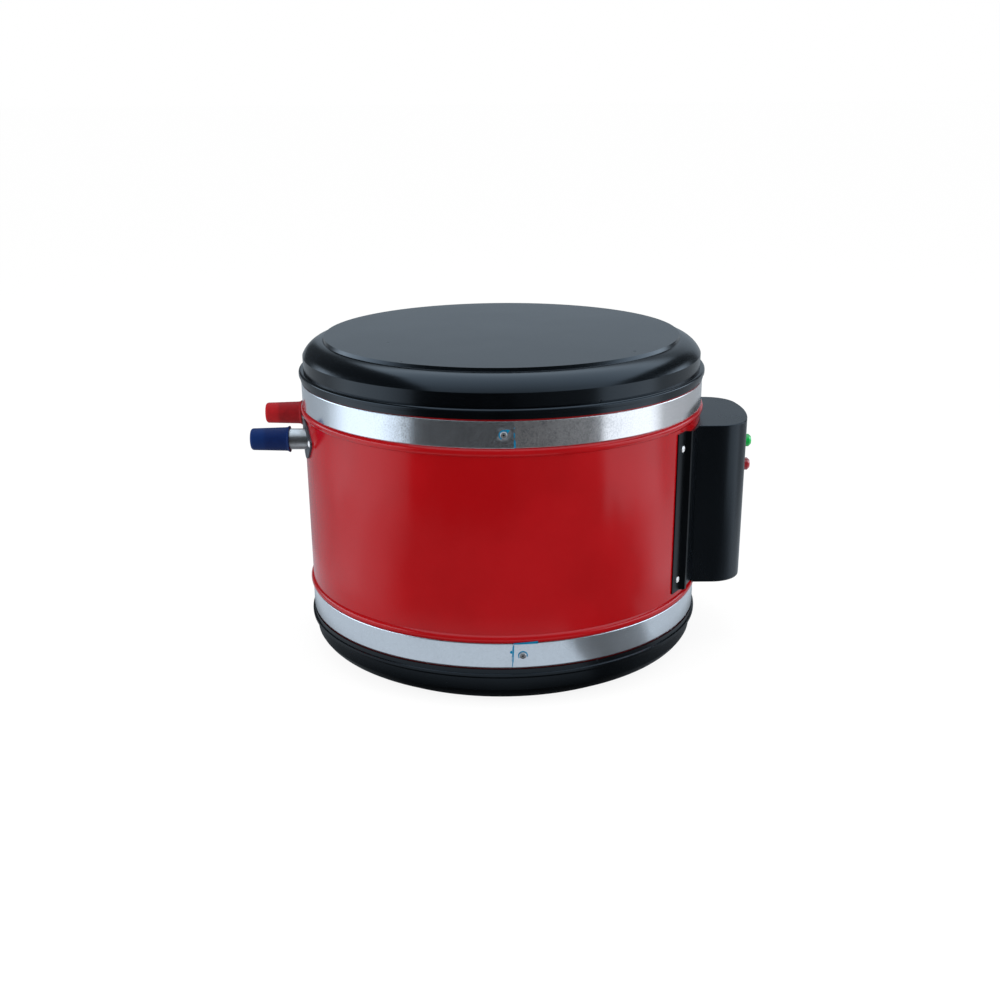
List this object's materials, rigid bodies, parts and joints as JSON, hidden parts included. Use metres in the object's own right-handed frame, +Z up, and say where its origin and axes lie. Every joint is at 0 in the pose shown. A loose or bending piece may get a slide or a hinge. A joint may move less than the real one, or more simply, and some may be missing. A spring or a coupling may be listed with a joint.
{
  "type": "electric storage water heater",
  "caption": "Small drum-shaped electric storage water heater: steel jacket, moulded covers, metal bands, capped water nipples and a side control box with lamps.",
  "frame": {"origin": "on the drum's axis, in the plane that the bottom cover stands on", "axes": "+Z up along the drum's axis; +X towards the control box; -X the way the two water nipples point"},
  "size_m": [0.5176, 0.4144, 0.3257],
  "materials": {
    "red_paint": "gloss",
    "black_moulding": "satin",
    "band_steel": "polished",
    "rivet_metal": "polished",
    "foam": "matte",
    "tank_enamel": "gloss",
    "nipple_steel": "satin",
    "plate_steel": "satin",
    "zinc_steel": "zinc plated",
    "copper_sheath": "satin",
    "brass": "satin",
    "anode_metal": "cast",
    "gasket_rubber": "matte",
    "white_plastic": "satin",
    "grey_plastic": "matte",
    "button_red": "gloss",
    "dip_plastic": "matte",
    "cold_cap_plastic": "satin",
    "hot_cap_plastic": "satin",
    "green_lens": "gloss",
    "red_lens": "gloss"
  },
  "bodies": {
    "heater": {"outer_shell": "red_paint", "top_cover": "black_moulding", "bottom_cover": "black_moulding", "upper_band": "band_steel", "lower_band": "band_steel", "band_rivets": "rivet_metal", "plate_rivets": "rivet_metal", "rail_rivets": "rivet_metal", "insulation": "foam", "tank_barrel": "tank_enamel", "tank_top_head": "tank_enamel", "tank_bottom_head": "tank_enamel", "element_boss": "tank_enamel", "flange_gasket": "gasket_rubber", "element_flange": "zinc_steel", "flange_bolts": "zinc_steel", "heating_element": "copper_sheath", "element_terminals": "brass", "thermostat_pocket": "copper_sheath", "thermostat_body": "grey_plastic", "anode_rod": "anode_metal", "anode_nut": "zinc_steel", "cold_nipple": "nipple_steel", "hot_nipple": "nipple_steel", "cold_dip_tube": "dip_plastic", "hot_draw_tube": "dip_plastic", "cold_nipple_plate": "plate_steel", "hot_nipple_plate": "plate_steel", "control_rail_front": "black_moulding", "control_rail_back": "black_moulding", "control_cover": "black_moulding", "green_lamp_lens": "green_lens", "red_lamp_lens": "red_lens", "green_lamp_body": "grey_plastic", "red_lamp_body": "grey_plastic", "lamp_nuts": "zinc_steel", "terminal_block": "white_plastic", "terminal_screws": "brass", "earth_stud": "brass", "cable_gland": "grey_plastic", "gland_nut": "grey_plastic"},
    "cold_cap": {"cold_cap": "cold_cap_plastic"},
    "hot_cap": {"hot_cap": "hot_cap_plastic"},
    "dial": {"thermostat_dial": "white_plastic"},
    "reset": {"reset_button": "button_red"}
  },
  "joints": [
    {"name": "cold_cap_slide", "type": "slide", "parent": "heater", "child": "cold_cap", "axis": [-1, 0, 0], "range_m": [0, 0.045]},
    {"name": "hot_cap_slide", "type": "slide", "parent": "heater", "child": "hot_cap", "axis": [-1, 0, 0], "range_m": [0, 0.045]},
    {"name": "dial_turn", "type": "hinge", "parent": "heater", "child": "dial", "pos_m": [0.206, 0.006, 0.14885], "axis": [1, 0, 0], "range_deg": [-135, 135]},
    {"name": "reset_push", "type": "slide", "parent": "heater", "child": "reset", "axis": [-1, 0, 0], "range_m": [0, 0.002], "stiffness_N_per_m": 150, "springref_m": -0.001}
  ]
}
